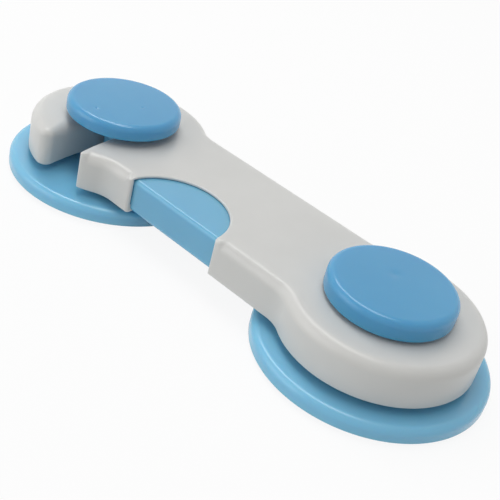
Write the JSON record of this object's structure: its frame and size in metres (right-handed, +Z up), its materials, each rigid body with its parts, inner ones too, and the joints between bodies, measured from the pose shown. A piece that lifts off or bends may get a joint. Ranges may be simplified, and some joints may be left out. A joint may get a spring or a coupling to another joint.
{
  "type": "cabinet safety lock",
  "caption": "Stick-on cabinet safety lock: a hooked arm swings on its pivot base to catch a strike post, and a slide bolt in the arm closes the mouth of the hook.",
  "frame": {"origin": "midway between the two posts, on the plane that both bases are stuck to", "axes": "+X from the strike base to the pivot base, +Y away from the mouth of the hook, +Z up out of the stuck-down face"},
  "size_m": [0.13, 0.05, 0.0196],
  "materials": {
    "arm_plastic": "satin moulded white",
    "pad_plastic": "satin moulded light blue",
    "cap_plastic": "satin moulded blue",
    "bolt_plastic": "satin moulded light blue",
    "screw_steel": "bright zinc",
    "foam_tape": "matte foam",
    "release_paper": "smooth coated paper"
  },
  "bodies": {
    "base": {"pivot_base": "pad_plastic", "pivot_cap": "cap_plastic", "pivot_screw": "screw_steel", "pivot_adhesive": "foam_tape", "pivot_liner": "release_paper", "strike_base": "pad_plastic", "strike_cap": "cap_plastic", "strike_screw": "screw_steel", "strike_adhesive": "foam_tape", "strike_liner": "release_paper"},
    "arm": {"arm_cover": "arm_plastic", "arm_bottom_plate": "arm_plastic", "plate_screws": "screw_steel"},
    "bolt": {"latch_bolt": "bolt_plastic"}
  },
  "joints": [
    {"name": "arm_swing", "type": "hinge", "parent": "base", "child": "arm", "pos_m": [0.04, 0, 0.00995], "axis": [0, 0, -1], "range_deg": [0, 330]},
    {"name": "bolt_slide", "type": "slide", "parent": "arm", "child": "bolt", "axis": [-1, 0, 0], "range_m": [0, 0.006]}
  ]
}
